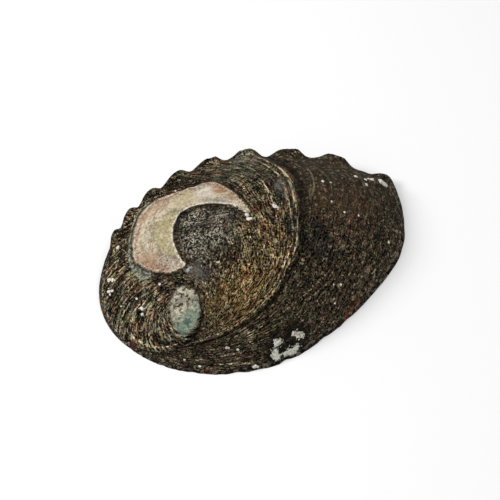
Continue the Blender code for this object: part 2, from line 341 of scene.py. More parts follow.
rim = [edge for edge in bm.edges if edge.is_boundary]
for ring in range(1, WALL_RINGS + 1):
    verts, rim, faces = new_parts(bmesh.ops.extrude_edge_only(bm, edges=rim)["geom"])
    places, _ = wall_place(np.array([vert[station_layer] for vert in verts]), ring / WALL_RINGS)
    for vert, place in zip(verts, places):
        vert.co = place
        vert[zone_layer] = ZONE_WALL
        if vert[station_layer] < LIP_SPAN:
            vert[age_layer] = -RIM_AGE * ring / WALL_RINGS
        else:
            vert[share_layer] = 1.0 + WALL_SHARE * ring / WALL_RINGS
    write_growth_map(faces)
skin = BVHTree.FromBMesh(bm)
print("wall:", len(bm.verts) - BACK_COUNT, "vertices")

# %% Foot and bowl
FOOT_WIDTH = 2.2 * MM
LIP_THICKNESS = 1.5 * MM
BODY_THICKNESS = 2.4 * MM
BOWL_CENTRE = Vector((0.0, -3.0, 0.0)) * MM
SHELF_WIDTH = 8.0 * MM
SHELF_HEIGHT = 1.6 * MM
BOWL_RINGS = 32
NACRE_SLOT = 1


def shelf_weight(station):
    """1 along the middle of the pore side, where the inner shelf is widest, and 0 on the lip."""
    t = min(max((station - LIP_SPAN) / OLD_TURN, 0.0), 1.0)
    return math.sin(math.pi * t) ** 1.5


def bowl_place(station, rise):
    """Point of the inner surface, from rise = 0 at the foot to 1 at the top of the bowl."""
    offset = Vector(wall_place(station, 1.0)[0]) - BOWL_CENTRE
    level = Vector((offset.x, offset.y, 0.0))
    lowest = math.atan2(SHELF_HEIGHT, level.length - SHELF_WIDTH * shelf_weight(station))
    elevation = lowest + (math.pi / 2.0 - lowest) * rise ** 1.15
    ray = level.normalized() * math.cos(elevation) + Vector((0, 0, math.sin(elevation)))
    _, normal, _, distance = skin.ray_cast(BOWL_CENTRE, ray)
    thickness = LIP_THICKNESS + (BODY_THICKNESS - LIP_THICKNESS) * math.sin(elevation) ** 0.5
    distance -= thickness / max(abs(ray.dot(normal)), 0.5)
    shelf = SHELF_WIDTH * shelf_weight(station) / level.length
    distance *= 1.0 - shelf * max(0.0, 1.0 - 2.2 * rise ** 1.15) ** 1.5
    return BOWL_CENTRE + ray * distance


verts, rim, faces = new_parts(bmesh.ops.extrude_edge_only(bm, edges=rim)["geom"])
for vert in verts:
    out_x, out_y = outward(vert[station_layer])
    vert.co -= Vector((out_x, out_y, 0.0)) * FOOT_WIDTH
    vert[zone_layer] = ZONE_UNDER
for ring in range(BOWL_RINGS):
    verts, rim, faces = new_parts(bmesh.ops.extrude_edge_only(bm, edges=rim)["geom"])
    for face in faces:
        face.material_index = NACRE_SLOT
    for vert in verts:
        vert.co = bowl_place(vert[station_layer], ring / BOWL_RINGS)
top = bmesh.ops.contextual_create(bm, geom=rim)["faces"]
for face in bmesh.ops.poke(bm, faces=top)["faces"]:
    face.material_index = NACRE_SLOT
bmesh.ops.recalc_face_normals(bm, faces=bm.faces)
print("whole shell:", len(bm.verts), "vertices", len(bm.faces), "faces")

shell_mesh = bpy.data.meshes.new("abalone_shell")
bm.to_mesh(shell_mesh)
bm.free()
shell_mesh.shade_smooth()
shell = bpy.data.objects.new("abalone_shell", shell_mesh)
bpy.context.scene.collection.objects.link(shell)

# %% [markdown]
# ## Landmarks
#
# The marks of wear and growth are each a closed outline on the back, seen from above. Every
# vertex gets its distance to each outline, below zero inside. A material that starts its colour
# at distance zero, with some noise added to it, then has an edge as sharp and ragged as it
# likes, much finer than the mesh.

# %% Outlines of the marks
WORN_CRESCENT = ((-1.5, 3.6), (-1.6, 10.0), (-2.2, 14.1), (-4.0, 20.3), (-6.5, 23.2), (-10.5, 24.2),
                 (-15.3, 25.7), (-19.6, 27.0), (-23.5, 28.2), (-30.1, 26.5), (-35.8, 20.8),
                 (-39.4, 13.4), (-39.1, 9.8), (-37.5, 5.8), (-34.9, 2.4), (-31.5, -0.1),
                 (-27.6, -0.7), (-27.7, 2.6), (-26.9, 8.6), (-25.6, 11.7), (-23.3, 14.6),
                 (-20.3, 16.6), (-17.6, 16.8), (-14.7, 15.9), (-10.7, 13.6), (-6.8, 10.6),
                 (-4.5, 7.5), (-3.0, 3.8))
UNDER_LAYER = ((-25.0, 29.4), (-28.0, 29.1), (-31.2, 27.6), (-33.8, 25.2), (-36.8, 21.6),
               (-39.2, 17.8), (-40.9, 14.5), (-41.5, 11.5), (-41.6, 7.9), (-40.8, 5.0),
               (-37.8, 4.0), (-36.0, 9.2), (-34.0, 16.2), (-29.0, 23.2), (-25.0, 26.7))
DARK_DISC = ((-27.5, -0.3), (-27.7, 3.7), (-26.6, 8.8), (-23.8, 13.6), (-20.3, 16.4), (-15.0, 15.8),
             (-9.5, 12.6), (-5.5, 8.2), (-3.5, 2.7), (-4.6, -3.2), (-9.0, -6.3), (-16.0, -7.0),
             (-23.0, -4.8))
APEX_SPOT = ((-31.8, -6.0), (-30.2, -7.7), (-29.3, -10.1), (-29.6, -12.6), (-30.5, -14.8),
             (-32.2, -16.4), (-34.7, -17.4), (-37.2, -17.3), (-38.8, -15.5), (-39.1, -12.7),
             (-38.5, -9.9), (-37.0, -7.3), (-34.0, -5.4))
CRUSTS = (((-7.5, -33.2), (-5.5, -32.9), (-3.3, -33.7), (-3.0, -34.5), (-4.7, -34.8), (-5.9, -34.3)),
          ((-14.0, -32.7), (-12.4, -32.4), (-10.7, -33.3), (-11.7, -34.0), (-13.5, -33.9)),
          ((-15.1, -34.0), (-13.6, -34.1), (-12.8, -35.2), (-13.0, -36.4), (-14.6, -36.4),
           (-15.6, -35.3)),
          ((-10.8, -35.4), (-9.0, -35.5), (-7.1, -35.5), (-5.1, -36.0), (-7.2, -36.7),
           (-9.0, -37.0), (-10.8, -36.9), (-11.8, -36.2)))


def closed_curve(corners, pieces=8):
    """A smooth closed curve through the corners, in metres."""
    corners = np.array(corners) * MM
    before, after = np.roll(corners, 1, axis=0), np.roll(corners, -1, axis=0)
    beyond = np.roll(corners, -2, axis=0)
    curve = []
    for t in np.arange(pieces) / pieces:
        curve.append(0.5 * (2.0 * corners + (after - before) * t
                            + (2.0 * before - 5.0 * corners + 4.0 * after - beyond) * t ** 2
                            + (3.0 * corners - before - 3.0 * after + beyond) * t ** 3))
    return np.stack(curve, axis=1).reshape(-1, 2)


def distance_to(curve, points):
    """Distance of the points from a closed curve, below zero inside it."""
    nearest = np.full(len(points), 1.0)
    inside = np.zeros(len(points), dtype=bool)
    for start, end in zip(curve, np.roll(curve, -1, axis=0)):
        along = end - start
        offset = points - start
        share = np.clip(offset @ along / (along @ along), 0.0, 1.0)
        nearest = np.minimum(nearest, np.hypot(*(offset - share[:, None] * along).T))
        spans = (start[1] > points[:, 1]) != (end[1] > points[:, 1])
        crossing = start[0] + (points[:, 1] - start[1]) * along[0] / (along[1] or 1e-12)
        inside ^= spans & (points[:, 0] < crossing)
    return np.where(inside, -nearest, nearest)


def read_values(name, kind="value", width=1):
    """A vertex attribute as an array."""
    attribute = shell_mesh.attributes[name]
    values = np.empty(len(attribute.data) * width)
    attribute.data.foreach_get(kind, values)
    return values.reshape(-1, width) if width > 1 else values


def write_values(name, values):
    """Store one number for each vertex, for the materials to read."""
    attribute = shell_mesh.attributes.new(name, "FLOAT", "POINT")
    attribute.data.foreach_set("value", values.astype(np.float32))


place = read_values("position", "vector", 3)
zone = read_values("zone")
age = read_values("age")
share = read_values("share")
station = read_values("station")
plan = place[:, :2]
marks = {"crescent": distance_to(closed_curve(WORN_CRESCENT), plan),
         "under_layer": distance_to(closed_curve(UNDER_LAYER), plan),
         "disc": distance_to(closed_curve(DARK_DISC), plan),
         "apex_spot": distance_to(closed_curve(APEX_SPOT), plan),
         "crust": np.min([distance_to(closed_curve(crust), plan) for crust in CRUSTS], axis=0)}
for name, distances in marks.items():
    write_values(name, distances / MM)
print("marks:", ", ".join(marks))

# %% [markdown]
# ## Knobs round the pores
#
# Each pore sits on a knob at the shoulder. While the snail lives, water leaves through the
# youngest of them; the older ones are sealed and wear down. A knob rises steeply on its young
# side and runs out in a tail behind. The knobs sit at equal steps of growth, so they get
# smaller by the same rule as the whorls.

# %% Knobs
PITCH = math.radians(10.55)
FIRST_PORE = math.radians(1.5)
KNOB_COUNT = 9
KNOB_GROWTH = 0.75
KNOB_DOWN = 0.25
KNOB_HEIGHT = 3.3 * MM
KNOB_RADIUS = 4.0 * MM
KNOB_EDGE = 2.8
KNOB_TAIL = 1.9
NEWEST_KNOB = 0.55

knobs = []
for number in range(KNOB_COUNT):
    knob_age = FIRST_PORE + number * PITCH
    centre, normal = wall_place(LIP_SPAN + knob_age, KNOB_DOWN)
    out_x, out_y = outward(LIP_SPAN + knob_age)
    formed = NEWEST_KNOB if number == 0 else 1.0
    size = formed * math.exp(-GROWTH * KNOB_GROWTH * knob_age)
    knobs.append((centre, np.array((-out_y, out_x, 0.0)), normal, size))


def knob_push(points):
    """How far the knobs push each point out."""
    push = np.zeros_like(points)
    highest = np.zeros(len(points))
    for centre, backward, normal, size in knobs:
        offset = points - centre
        along = offset @ backward
        across = np.sqrt(np.maximum((offset ** 2).sum(axis=1) - along ** 2, 0.0))
        length = np.where(along > 0.0, KNOB_TAIL, 1.0)
        scaled = np.hypot(along / length, across) / (KNOB_RADIUS * size)
        lift = KNOB_HEIGHT * size * np.exp(-scaled ** KNOB_EDGE)
        higher = lift > highest
        push[higher] = lift[higher, None] * normal
        highest = np.maximum(highest, lift)
    return push


outer = zone < ZONE_UNDER
on_back = zone == ZONE_BACK
rim_fade = np.where(on_back, 1.0, np.clip((place[:, 2] - 0.3 * MM) / (1.2 * MM), 0.0, 1.0))
base = place.copy()
place[outer] += knob_push(base[outer]) * rim_fade[outer, None]
print("knobs:", KNOB_COUNT, "the tallest", round(float((place - base).max() / MM), 1), "mm")

# %% [markdown]
# ## Seam, growth ridges and wear
#
# The seam between two whorls is a groove. Growth once stopped for a season and left a double
# ridge with a groove outside it, and the newest band has weaker ridges of the same kind. They
# keep the same distance in age from that ridge, whose own age changes a little along the lip,
# because the lip didn't grow evenly. Wear is a change of level
# inside the outlines from above: the crescent has lost its outer layer, and the disc inside it
# still stands a little proud.

# %% Growth relief
SEAM_DEPTH = 0.9 * MM
SEAM_LINE = 0.50 * MM
SEAM_RIDGE = 0.40 * MM
SEAM_RIDGE_SHARE = 0.968
RIDGE_SHARES = (0.0, 0.24, 0.37, 0.47, 0.57, 0.67, 0.73, 0.76, 0.84, 0.88, 0.93, 1.0)
RIDGE_AGES = (0.95, 0.70, 0.607, 0.585, 0.577, 0.572, 0.560, 0.575, 0.616, 0.624, 0.612, 0.58)
RIDGES = ((0.0, 0.015, 0.45), (0.042, 0.013, 0.30), (-0.065, 0.030, -0.60), (0.085, 0.020, -0.15),
          (0.160, 0.018, 0.25), (-0.130, 0.018, 0.22), (-0.165, 0.016, -0.16), (-0.210, 0.016, 0.16),
          (-0.330, 0.018, 0.20), (-0.360, 0.016, -0.14), (-0.470, 0.018, 0.14))
RIPPLE = 0.16 * MM
RIPPLE_LINES = 19.0
SWELL = 0.30 * MM
GRIT = 0.09 * MM


def bump(x, middle, width):
    """A smooth hump of height 1."""
    return np.exp(-(((x - middle) / width) ** 2))


def fade_in(x, start, end):
    """0 up to start, 1 from end on, and smooth in between."""
    t = np.clip((x - start) / (end - start), 0.0, 1.0)
    return t * t * (3.0 - 2.0 * t)


def noise_at(points, scale):
    """Smooth noise, about -1 to 1, at points multiplied by a scale."""
    return np.array([noise.noise(Vector(point) * scale) for point in points])


radius = np.zeros(len(place))
radius[:BACK_COUNT] = coil_radius
size_here = np.minimum(1.0, radius / SEAM_RADIUS)
old = age > OLD_TURN - 1e-6
from_seam = np.where(old & (share > 0.5), (1.0 - share) * 2.0, share)
seam_age = np.where(old & (share > 0.5), age - OLD_TURN, age)
seam_depth = size_here * np.minimum(1.0, seam_age / 0.5)
away_from_seam = fade_in(from_seam, 0.0, 0.05)

lift = -SEAM_DEPTH * seam_depth * bump(from_seam, 0.0, 0.06)
lift -= SEAM_LINE * seam_depth * bump(from_seam, 0.0, 0.014)
beside_seam = bump(share, SEAM_RIDGE_SHARE, 0.010) * old * fade_in(OLD_TURN + 1.15 - age, 0.0, 0.2)
lift += SEAM_RIDGE * beside_seam
waver = 0.012 * noise_at(np.stack((share * 9.0, age * 2.0, 0.0 * age), axis=1), 1.0)
past_ridge = age - np.interp(share, RIDGE_SHARES, RIDGE_AGES) + waver
for middle, width, height in RIDGES:
    lift += height * MM * bump(past_ridge, middle, width) * away_from_seam
lines = np.stack((age * RIPPLE_LINES, share * 7.0, 0.0 * age), axis=1)
ripple = noise_at(lines, 1.0) + 0.5 * noise_at(lines, 2.1)
lift += RIPPLE * ripple * away_from_seam * (0.4 + 0.6 * size_here)
lift += SWELL * noise_at(place, 95.0) + GRIT * noise_at(place, 620.0)

crescent, disc = marks["crescent"] * MM, marks["disc"] * MM
apex_spot, crust = marks["apex_spot"] * MM, marks["crust"] * MM
WORN_DEPTH = 0.45 * MM
DISC_RISE = 0.55 * MM
SPOT_DEPTH = 0.35 * MM
CRUST_RISE = 0.18 * MM
lift -= WORN_DEPTH * fade_in(-crescent, -0.5 * MM, 1.2 * MM)
lift -= 0.5 * WORN_DEPTH * fade_in(-marks["under_layer"] * MM, -0.6 * MM, 0.8 * MM)
lift += DISC_RISE * fade_in(-disc, 0.0, 8.0 * MM)
lift -= SPOT_DEPTH * fade_in(-apex_spot, -0.5 * MM, 1.5 * MM)
lift += CRUST_RISE * fade_in(-crust, -0.2 * MM, 0.4 * MM)

_, wall_normals = wall_place(station, np.clip(1.0 - base[:, 2] / np.maximum(
    shoulder_height(station), 1e-6), 0.0, 1.0))
lift_direction = np.where(on_back[:, None], (0.0, 0.0, 1.0), wall_normals)
place[outer] += (lift * rim_fade)[outer, None] * lift_direction[outer]
write_values("relief", (lift / MM + 0.35 * (place - base) @ (0.0, 0.0, 1.0) / MM) * outer)
print("relief from", round(float(lift[outer].min() / MM), 2), "to",
      round(float(lift[outer].max() / MM), 2), "mm")

# %% [markdown]
# ## The lip's edge
#
# The lip is thin and chips easily. Each nick pulls a short stretch of the edge inwards, most at
# the very edge and less over the next few millimetres, and slow noise makes the rest uneven.

# %% Chips in the lip
NICKS = ((96.0, 0.55, 3.0), (107.0, 0.45, 2.2), (121.0, 0.60, 2.6), (140.0, 0.5, 2.4),
         (66.0, 0.35, 2.5), (150.0, 0.4, 1.6), (38.0, 0.30, 2.0))
NICK_REACH = 0.035
EDGE_WANDER = 0.22 * MM

lip_station = np.where(on_back, share * LIP_SPAN, station)
out_x, out_y = outward(lip_station)
lip_degrees = np.degrees(lip_station)
edge_line = np.stack((lip_degrees / 3.5, 0.0 * age, 0.0 * age), axis=1)
pull = EDGE_WANDER * (1.0 + noise_at(edge_line, 1.0))
for middle, depth, width in NICKS:
    pull += depth * MM * bump(lip_degrees, middle, width)
near_lip = np.where(on_back, np.exp(-((age / NICK_REACH) ** 2)), 1.0)
near_lip *= fade_in(lip_station, 0.0, 0.15) * fade_in(LIP_SPAN - lip_station, 0.0, 0.10)
near_lip *= outer & (lip_station < LIP_SPAN)
place[:, 0] -= pull * near_lip * out_x
place[:, 1] -= pull * near_lip * out_y

low, high = (np.array(corner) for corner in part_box("shell"))
place = np.clip(place, low, high)
shell_mesh.attributes["position"].data.foreach_set("vector", place.ravel())
shell_mesh.update()
print("lip chips:", len(NICKS))

# %% [markdown]
# ## How far a place is from the ridge
#
# The material needs the distance in age from the ridge too. It is stored on the corners of the
# faces, from the growth map, so that it also jumps cleanly at the seam.

# %% Distance from the ridge
growth_uv = shell_mesh.uv_layers["growth"].uv
corner_growth = np.empty(len(growth_uv) * 2)
growth_uv.foreach_get("vector", corner_growth)
corner_age, corner_share = corner_growth.reshape(-1, 2).T
from_ridge = corner_age - np.interp(corner_share, RIDGE_SHARES, RIDGE_AGES)
ridge_values = shell_mesh.attributes.new("from_ridge", "FLOAT", "CORNER")
ridge_values.data.foreach_set("value", from_ridge.astype(np.float32))
print("ages from", round(float(corner_age.min()), 2), "to", round(float(corner_age.max()), 2))

# %% [markdown]
# ## Open pores
#
# Four pores are open. Oval pegs along the knobs' own axes cut them out of the shell with a
# Boolean. The cut is applied at once, so that every later step sees the finished mesh. It can
# leave a face folded onto itself at a pore's edge: once the faces are triangles, those are the
# pairs with the same three corners, and both go.

# %% Cut the pores
OPEN_PORES = 4
PORE_RADIUS = 1.6 * MM
PORE_STRETCH = 1.35
PEG_LENGTH = 16.0 * MM

bm = bmesh.new()
for centre, backward, normal, size in knobs[1:OPEN_PORES + 1]:
    peg = Matrix((backward, np.cross(normal, backward), normal)).transposed().to_4x4()
    peg.translation = Vector(centre)
    oval = Matrix.Diagonal((PORE_STRETCH, 1.0, 1.0, 1.0))
    bmesh.ops.create_cone(bm, cap_ends=True, segments=40, radius1=PORE_RADIUS * size,
                          radius2=PORE_RADIUS * size, depth=PEG_LENGTH, matrix=peg @ oval)
peg_mesh = bpy.data.meshes.new("pore_pegs")
bm.to_mesh(peg_mesh)
bm.free()
pegs = bpy.data.objects.new("pore_pegs", peg_mesh)
bpy.context.scene.collection.objects.link(pegs)
cut = shell.modifiers.new("pores", "BOOLEAN")
cut.operation = "DIFFERENCE"
cut.solver = "EXACT"
cut.object = pegs
bpy.context.view_layer.update()
finished = bpy.data.meshes.new_from_object(shell.evaluated_get(bpy.context.evaluated_depsgraph_get()))
shell.modifiers.clear()
shell.data = finished
bpy.data.objects.remove(pegs)

bm = bmesh.new()
bm.from_mesh(finished)
bmesh.ops.triangulate(bm, faces=bm.faces)
same_corners = {}
for face in bm.faces:
    same_corners.setdefault(frozenset(face.verts), []).append(face)
folded = [face for faces in same_corners.values() if len(faces) > 1 for face in faces]
print("folded slivers:", len(folded))
bmesh.ops.delete(bm, geom=folded, context="FACES")
open_edges = sum(not edge.is_manifold for edge in bm.edges)
print("open edges:", open_edges)
bm.to_mesh(finished)
bm.free()
finished.shade_smooth()
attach(shell, "root")
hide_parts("shell")
triangles = sum(len(face.vertices) - 2 for face in finished.polygons)
print("shell:", triangles, "triangles")

# %% [markdown]
# ## Node helpers
#
# The materials below are sums of many patterns. To keep them readable, a socket is wrapped in
# a small class that knows ordinary arithmetic, so a pattern is written as a formula and Python
# adds the Math nodes. Everything else comes from one method that adds any node.

# %% Sockets that can be added and multiplied
class Number:
    """A socket with a number that works in ordinary formulas."""

    def __init__(self, finish, socket):
        self.finish = finish
        self.socket = socket

    def math(self, operation, *values):
        return self.finish.node("ShaderNodeMath", {"operation": operation}, values)

    def __add__(self, other):
        return self.math("ADD", self, other)

    def __radd__(self, other):
        return self.math("ADD", other, self)

    def __sub__(self, other):
        return self.math("SUBTRACT", self, other)

    def __rsub__(self, other):
        return self.math("SUBTRACT", other, self)

    def __mul__(self, other):
        return self.math("MULTIPLY", self, other)

    def __rmul__(self, other):
        return self.math("MULTIPLY", other, self)

    def __truediv__(self, other):
        return self.math("DIVIDE", self, other)

    def __rtruediv__(self, other):
        return self.math("DIVIDE", other, self)

    def __pow__(self, other):
        return self.math("POWER", self, other)

    def __neg__(self):
        return self.math("MULTIPLY", self, -1.0)


class Finish:
    """One material and the nodes that make it up."""

    def __init__(self, name):
        self.material = bpy.data.materials.new(name)
        self.material.use_nodes = True
        self.tree = self.material.node_tree
        self.surface = self.tree.nodes["Principled BSDF"]

    def node(self, kind, settings, inputs, output=0):
        """Add a node: first its settings, then a value or a link for each input."""
        node = self.tree.nodes.new(kind)
        for name, value in settings.items():
            setattr(node, name, value)
        pairs = inputs.items() if isinstance(inputs, dict) else enumerate(inputs)
        for name, value in pairs:
            self.feed(node.inputs[name], value)
        return Number(self, node.outputs[output])

    def feed(self, socket, value):
        """Link a socket, or set its value."""
        if isinstance(value, Number):
            self.tree.links.new(value.socket, socket)
        elif socket.type == "RGBA":
            socket.default_value = (*value, 1.0)
        else:
            socket.default_value = value

    def attribute(self, name):
        """A value that the mesh carries."""
        return self.node("ShaderNodeAttribute", {"attribute_name": name}, {}, "Fac")

    def place(self):
        """Position on the object, in millimetres."""
        here = self.node("ShaderNodeTexCoord", {}, {}, "Object")
        return self.node("ShaderNodeVectorMath", {"operation": "SCALE"},
                         {"Vector": here, "Scale": 1000.0})

    def growth(self):
        """Age and share of a place on the back, from the UV map."""
        spot = self.node("ShaderNodeUVMap", {"uv_map": "growth"}, {})
        parts = self.tree.nodes.new("ShaderNodeSeparateXYZ")
        self.tree.links.new(spot.socket, parts.inputs[0])
        return Number(self, parts.outputs["X"]), Number(self, parts.outputs["Y"])

    def vector(self, x, y, z=0.0):
        return self.node("ShaderNodeCombineXYZ", {}, (x, y, z))

    def noise(self, where, scale=1.0, detail=3.0, roughness=0.55):
        """Noise with its middle at 0.5."""
        return self.node("ShaderNodeTexNoise", {"noise_dimensions": "3D"},
                         {"Vector": where, "Scale": scale, "Detail": detail,
                          "Roughness": roughness})

    def size(self, value):
        """The value without its sign."""
        return self.node("ShaderNodeMath", {"operation": "ABSOLUTE"}, (value,))

    def threads(self, where, width):
        """Thin wandering lines, where a smooth noise passes its middle."""
        return self.ramp(self.size(self.noise(where, 1.0, 1.0, 0.5) - 0.5), width, width * 0.35)

    def ramp(self, value, start, end):
        """0 at start, 1 at end, smooth in between and flat outside."""
        return self.node("ShaderNodeMapRange", {"interpolation_type": "SMOOTHSTEP"},
                         {"Value": value, "From Min": start, "From Max": end})

    def hump(self, value, middle, width):
        """1 at the middle and 0 from width away."""
        return self.ramp(self.size(value - middle), width, 0.0)

    def away(self, where, middle, reach):
        """0 in the middle of an oval seen from above and 1 on its edge."""
        offset = self.node("ShaderNodeVectorMath", {"operation": "SUBTRACT"},
                           (where, (*middle, 0.0)))
        offset = self.node("ShaderNodeVectorMath", {"operation": "MULTIPLY"},
                           (offset, (1.0 / reach[0], 1.0 / reach[1], 0.0)))
        return self.node("ShaderNodeVectorMath", {"operation": "LENGTH"}, (offset,), "Value")

    def zone(self, where, middle, reach):
        """A soft oval: 1 in its inner third and 0 from its edge on."""
        return self.ramp(self.away(where, middle, reach), 1.0, 0.3)

    def tint(self, colour, factor):
        """The colour, lighter or darker by a factor."""
        return self.node("ShaderNodeVectorMath", {"operation": "SCALE"},
                         {"Vector": colour, "Scale": factor})

    def blend(self, factor, first, second):
        """Colour that goes from the first to the second as the factor goes from 0 to 1."""
        return self.node("ShaderNodeMix", {"data_type": "RGBA"},
                         {0: factor, 6: first, 7: second}, 2)


print("helpers ready")

# %% [markdown]
# ## The weathered back
#
# The colour is built in the order in which it came about. First the snail's own dark shell with
# its growth lines, then stains, then wear down to paler layers, and last the crusts that grew
# on top. Fine strokes follow the growth lines because their noise runs on the growth map, ten
# times tighter across the lines than along them.

# %% Shell colour and growth strokes
ACROSS_LINES = 115.0
ALONG_LINES = 140.0

back = Finish("weathered_shell")
here = back.place()
age_here, share_here = back.growth()
from_ridge_here = back.attribute("from_ridge")
relief = back.attribute("relief")
blotch = back.noise(here, 0.16, 3.0)
hue = back.noise(here, 0.30, 3.0, 0.6)
grain = back.noise(here, 0.8, 3.0, 0.6)
fleck = back.noise(here, 1.3, 1.5, 0.5)
clump = back.ramp(back.noise(here, 0.38, 4.0, 0.65), 0.42, 0.60)
size_here = back.node("ShaderNodeMath", {"operation": "EXPONENT"}, (age_here * -GROWTH,))
across = size_here * ACROSS_LINES
along = size_here * share_here * ALONG_LINES
strokes = back.ramp(back.noise(back.vector(across * 0.95, along * 0.17), 1.0, 2.0, 0.6), 0.52, 0.58)
hairs = back.threads(back.vector(across * 0.55, along * 0.10, blotch * 2.0), 0.035)
fine_hairs = back.threads(back.vector(across * 1.10, along * 0.16), 0.060)
net = back.threads(back.vector(across * 0.30, along * 0.75), 0.050)
height = strokes * 0.16 + hairs * 0.14 + fine_hairs * 0.10 + grain * 0.25 + fleck * 0.10

colour = back.blend(back.ramp(blotch, 0.35, 0.65), (0.004, 0.0035, 0.0025), (0.018, 0.015, 0.010))
gold = back.zone(here, (-17.0, -18.3), (20.0, 12.0)) + 0.5 * back.zone(here, (-2.0, -6.0), (11.0, 16.0))
tan = back.blend(back.ramp(hue, 0.54, 0.40), (0.27, 0.21, 0.12), (0.19, 0.09, 0.045))
tan = back.blend(back.ramp(hue, 0.54, 0.64), tan, (0.16, 0.16, 0.09))
tan = back.blend(gold * 0.7, tan, (0.38, 0.235, 0.085))
old_part = back.ramp(from_ridge_here, -0.10, 0.0)
colour = back.blend(back.ramp(grain, 0.50, 0.60) * (old_part * 0.25 + 0.20), colour, tan)
colour = back.blend(strokes * (clump * (old_part * 0.30 + 0.20) + gold * 0.30 + 0.05), colour, tan)
colour = back.blend(fine_hairs * (clump * 0.45 + gold * 0.40 + 0.08), colour, back.tint(tan, 1.3))
colour = back.blend(net * (gold * 0.45 + clump * 0.20), colour, back.tint(tan, 1.2))
colour = back.blend(hairs * (clump * 0.65 + 0.10), colour, (0.44, 0.37, 0.25))
colour = back.blend(back.ramp(fleck, 0.63, 0.68) * 0.8, colour, (0.47, 0.43, 0.34))
colour = back.blend(back.ramp(fleck, 0.42, 0.36) * 0.8, colour, (0.004, 0.003, 0.002))
colour = back.blend(back.ramp(relief, 0.25, 0.75) * back.ramp(grain, 0.40, 0.55) * 0.40, colour,
                    (0.20, 0.165, 0.11))
left = back.zone(here, (-44.0, -7.0), (17.0, 24.0))
pale_dots = back.ramp(back.noise(back.vector(across * 1.0, along * 0.45), 1.0, 2.0, 0.6), 0.54, 0.60)
colour = back.blend(left * pale_dots * 0.75, colour, (0.36, 0.32, 0.235))
shade = back.ramp(back.noise(back.vector(across * 0.22, along * 0.10), 1.0, 3.0, 0.6), 0.56, 0.42)
colour = back.blend(shade * 0.45, colour, (0.008, 0.007, 0.005))
# Painted shade: the low places of the relief are darkened, as shade in the hollows.
colour = back.blend(back.ramp(relief, -0.15, -0.70) * 0.7, colour, (0.006, 0.005, 0.004))

# %% [markdown]
# The newest band is smoother and greyer. The ridge where growth stopped has lost its dark skin
# along its top and shows as a pale broken double line.

# %% Newest band and ridges
waver_here = (back.noise(back.vector(share_here * 9.0, age_here * 2.0)) - 0.5) * 0.03
past = from_ridge_here + waver_here
broken = back.ramp(back.noise(back.vector(age_here * 50.0, share_here * 50.0), 1.0, 2.0), 0.42, 0.56)
new_band = back.ramp(past, -0.01, -0.06)
long_lines = back.threads(back.vector(past * 38.0, share_here * 6.0), 0.024)
thin_lines = back.threads(back.vector(past * 62.0, share_here * 5.0), 0.032)
dark_lines = back.threads(back.vector(past * 48.0, share_here * 6.0, 9.0), 0.040)
low_side = back.ramp(share_here, 0.66, 0.46)
patches = back.ramp(back.noise(here, 0.55, 4.0, 0.68), 0.50, 0.58)
flakes = back.ramp(back.noise(here, 0.75, 2.0, 0.6), 0.59, 0.63)
band_base = back.blend(low_side, (0.021, 0.016, 0.011), (0.017, 0.0125, 0.008))
colour = back.blend(new_band * 0.78, colour, band_base)
colour = back.blend(new_band * (1.0 - low_side) * patches * 0.45, colour, (0.080, 0.062, 0.040))
colour = back.blend(new_band * (1.0 - low_side) * flakes * 0.55, colour, (0.26, 0.21, 0.14))
colour = back.blend(new_band * dark_lines * low_side * 0.80, colour, (0.003, 0.0025, 0.002))
colour = back.blend(new_band * thin_lines * (broken * 0.7 + 0.15) * (low_side * 0.80 + 0.10), colour,
                    (0.28, 0.205, 0.125))
colour = back.blend(new_band * long_lines * clump * (low_side * 0.85 + 0.15), colour, (0.46, 0.39, 0.28))
colour = back.blend(back.hump(past, 0.021, 0.012) * 0.55, colour, (0.010, 0.008, 0.005))
ridge_line = back.hump(past, 0.0, 0.012) + back.hump(past, 0.042, 0.010)
seam_side = back.hump(share_here, 0.968, 0.011) * back.ramp(age_here, 3.95, 3.70)
seam_side = seam_side * back.ramp(age_here, 2.84, 2.90)
ridge_line = ridge_line + seam_side * 1.2
colour = back.blend(ridge_line * (broken * 0.85 + 0.10), colour, (0.56, 0.45, 0.31))
seam_gap = back.ramp(share_here, 0.022, 0.004) * back.ramp(age_here, 2.4, 1.6)
colour = back.blend(seam_gap * 0.85, colour, (0.006, 0.005, 0.004))
colour = back.blend(back.hump(past, -0.055, 0.040) * 0.75, colour, (0.005, 0.004, 0.003))
height = height + ridge_line * broken * 0.15 + new_band * long_lines * 0.08

# %% [markdown]
# Single growth lines stand out pale or rusty for part of their length. Each is a straight line
# on the growth map, given by the share and age at its two ends.

# %% Single growth lines
GROWTH_LINES = ((0.940, 0.455, 0.855, 0.507, 0.010, 0.55, (0.30, 0.25, 0.16)),
                (0.950, 0.394, 0.880, 0.388, 0.007, 0.45, (0.24, 0.21, 0.15)),
                (0.960, 0.250, 0.840, 0.262, 0.010, 0.50, (0.19, 0.10, 0.065)),
                (0.760, 0.245, 0.590, 0.350, 0.006, 0.70, (0.40, 0.34, 0.22)),
                (0.730, 0.220, 0.470, 0.334, 0.006, 0.55, (0.30, 0.25, 0.15)),
                (0.600, 0.272, 0.440, 0.433, 0.005, 0.50, (0.24, 0.20, 0.13)),
                (0.893, 0.786, 0.826, 0.777, 0.009, 0.95, (0.50, 0.45, 0.34)),
                (0.868, 0.874, 0.810, 0.818, 0.006, 0.65, (0.36, 0.31, 0.22)),
                (0.846, 0.922, 0.862, 0.850, 0.010, 0.60, (0.38, 0.33, 0.24)),
                (0.660, 0.705, 0.540, 0.716, 0.012, 0.75, (0.32, 0.20, 0.11)),
                (0.545, 0.718, 0.290, 0.785, 0.011, 0.60, (0.30, 0.20, 0.11)),
                (0.905, 0.060, 0.922, 0.000, 0.010, 0.55, (0.36, 0.32, 0.25)))

